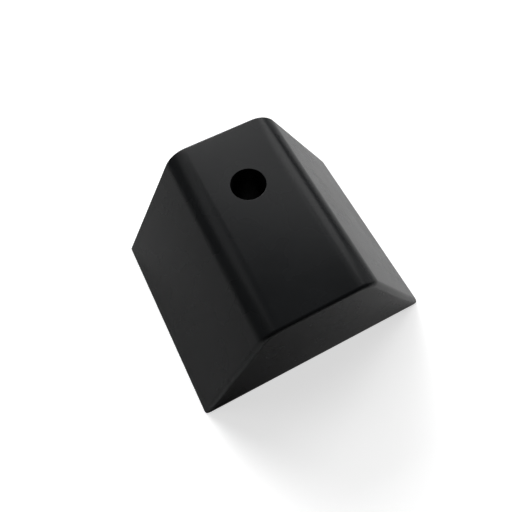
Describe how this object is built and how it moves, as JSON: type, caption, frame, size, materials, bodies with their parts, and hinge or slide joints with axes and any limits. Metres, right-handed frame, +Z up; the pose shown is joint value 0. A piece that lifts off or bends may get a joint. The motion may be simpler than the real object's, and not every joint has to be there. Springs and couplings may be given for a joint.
{
  "type": "speed bump block",
  "caption": "Short moulded rubber speed bump block with sloping sides, a flat top, a cored underside and a bonded steel insert for an anchor screw",
  "frame": {"origin": "middle of the base rectangle, on the ground", "axes": "+Z up. +X across the block, along its longest side. +Y towards the upright end with the fixing hole; the leaning end faces -Y"},
  "size_m": [0.15, 0.122, 0.075],
  "materials": {
    "rubber": "black moulded rubber, semi-matt",
    "zinc_steel": "bright zinc plating, slightly dulled"
  },
  "bodies": {
    "root": {"rubber_body": "rubber", "seat_washer": "zinc_steel", "bolt_sleeve": "zinc_steel", "foot_washer": "zinc_steel"}
  },
  "joints": []
}
